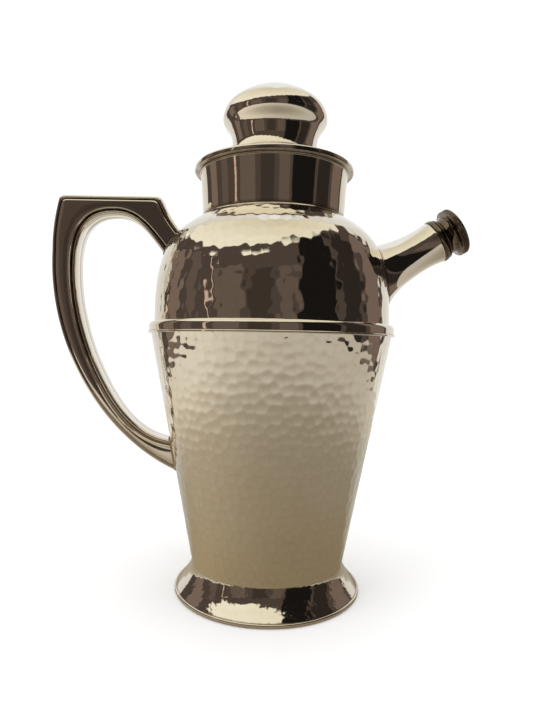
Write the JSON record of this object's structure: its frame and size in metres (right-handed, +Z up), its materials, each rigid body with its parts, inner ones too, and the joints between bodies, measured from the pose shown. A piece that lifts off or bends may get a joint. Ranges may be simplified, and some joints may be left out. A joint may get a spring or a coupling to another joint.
{
  "type": "lidded pitcher with side spout",
  "caption": "Hammered silver pitcher with a flared foot, hollow strap handle, lift-off lid with a mushroom knob, and a raised side spout closed by a knurled screw cap.",
  "frame": {"origin": "centre of the foot rim, on the plane the pitcher stands on", "axes": "+Z up along the body axis, +X towards the spout, the handle lies along -X"},
  "size_m": [0.2366, 0.139, 0.2855],
  "materials": {
    "silver_hammered": "mirror polish over shallow hammer facets",
    "silver_polished": "mirror polish",
    "silver_cast": "worn polish, tarnish in the grooves",
    "silver_satin": "satin inside surface",
    "tarnished_metal": "dark brown tarnish, rubbed brighter on the edges",
    "cork": "cork grain",
    "brass_fixing": "turned brass"
  },
  "bodies": {
    "pitcher": {"lower_body": "silver_hammered", "shoulder": "silver_hammered", "waist_band": "silver_polished", "body_floor": "silver_satin", "foot": "silver_polished", "foot_rim": "silver_polished", "neck_collar": "silver_polished", "neck_rim_ring": "silver_polished", "handle_left_half": "silver_cast", "handle_right_half": "silver_cast", "handle_upper_pad": "silver_cast", "handle_lower_pad": "silver_cast", "spout_tube": "silver_polished", "spout_strainer": "silver_satin", "spout_thread_ring": "silver_satin"},
    "lid_sleeve": {"lid_plug": "silver_polished"},
    "lid": {"lid_cover": "silver_polished", "lid_seat_ring": "silver_satin", "knob_base_ring": "silver_polished", "knob_lower": "silver_polished", "knob_dome": "silver_polished", "knob_stud": "brass_fixing", "knob_washer": "brass_fixing", "knob_nut": "brass_fixing"},
    "gasket": {"cap_gasket": "cork"},
    "cap": {"spout_cap": "tarnished_metal"}
  },
  "joints": [
    {"name": "lid_lift", "type": "slide", "parent": "pitcher", "child": "lid_sleeve", "axis": [0, 0, 1], "range_m": [0, 0.1]},
    {"name": "lid_turn", "type": "hinge", "parent": "lid_sleeve", "child": "lid", "pos_m": [0, 0, 0.2347], "axis": [0, 0, 1], "continuous": true},
    {"name": "cap_travel", "type": "slide", "parent": "pitcher", "child": "gasket", "axis": [0.8695, 0, 0.4939], "range_m": [0, 0.03]},
    {"name": "cap_turn", "type": "hinge", "parent": "gasket", "child": "cap", "pos_m": [0.0922, 0, 0.1985], "axis": [0.8695, 0, 0.4939], "range_deg": [0, 3590]}
  ],
  "couplings": [
    {"joint": "cap_travel", "follows": "cap_turn", "m_per_rad": 0.00047746}
  ]
}
